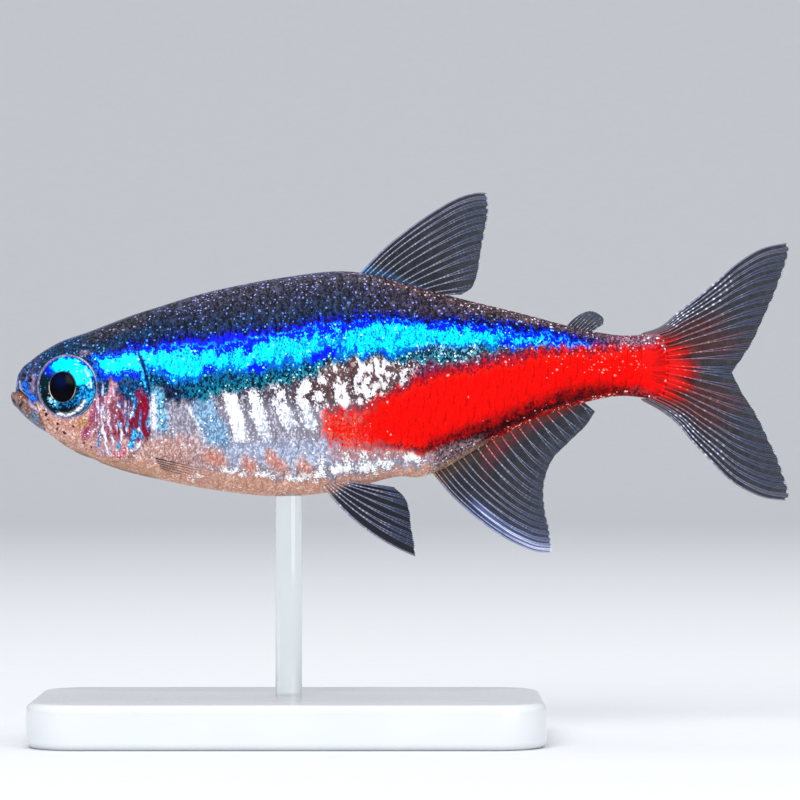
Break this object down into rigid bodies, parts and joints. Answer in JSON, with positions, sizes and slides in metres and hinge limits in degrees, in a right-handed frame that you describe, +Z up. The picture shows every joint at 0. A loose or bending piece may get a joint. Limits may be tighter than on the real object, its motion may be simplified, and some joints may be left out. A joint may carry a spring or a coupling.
{
  "type": "neon tetra",
  "caption": "Life-size still model of a neon tetra, fins spread, held level on a clear rod and flat base.",
  "frame": {"origin": "centre of the bounding box at floor level, under the fish, at the underside of the stand base", "axes": "+X runs from the snout to the tail, +Y from the fish's left side to its right side, +Z up"},
  "size_m": [0.035, 0.013, 0.0247],
  "materials": {
    "head_skin": "painted cast resin, dark olive crown with blue flecks and silver-pink cheeks, satin lacquer",
    "gill_cover_skin": "painted resin, pearly pink, silver and sky-blue streaks over crimson, glossy lacquer",
    "trunk_skin": "painted resin with fine scales, olive-black back, bright blue-cyan stripe, silver-white belly",
    "tail_skin": "painted resin with fine scales, blue-cyan stripe above a bright red band",
    "eye": "polished cast resin over a metallic cyan and blue iris with a black pupil",
    "fin_membrane": "thin clear film with smoky tint over fine pale blue-grey rays",
    "stand_acrylic": "clear polished acrylic"
  },
  "bodies": {
    "root": {"head": "head_skin", "lower_jaw": "head_skin", "gill_cover_left": "gill_cover_skin", "gill_cover_right": "gill_cover_skin", "eye_left": "eye", "eye_right": "eye", "trunk_front": "trunk_skin", "trunk_rear": "tail_skin", "tail_stalk": "tail_skin", "dorsal_fin": "fin_membrane", "adipose_fin": "fin_membrane", "anal_fin": "fin_membrane", "tail_fin_upper": "fin_membrane", "tail_fin_lower": "fin_membrane", "pelvic_fin_left": "fin_membrane", "pelvic_fin_right": "fin_membrane", "pectoral_fin_left": "fin_membrane", "pectoral_fin_right": "fin_membrane", "stand_base": "stand_acrylic", "stand_rod": "stand_acrylic"}
  },
  "joints": []
}
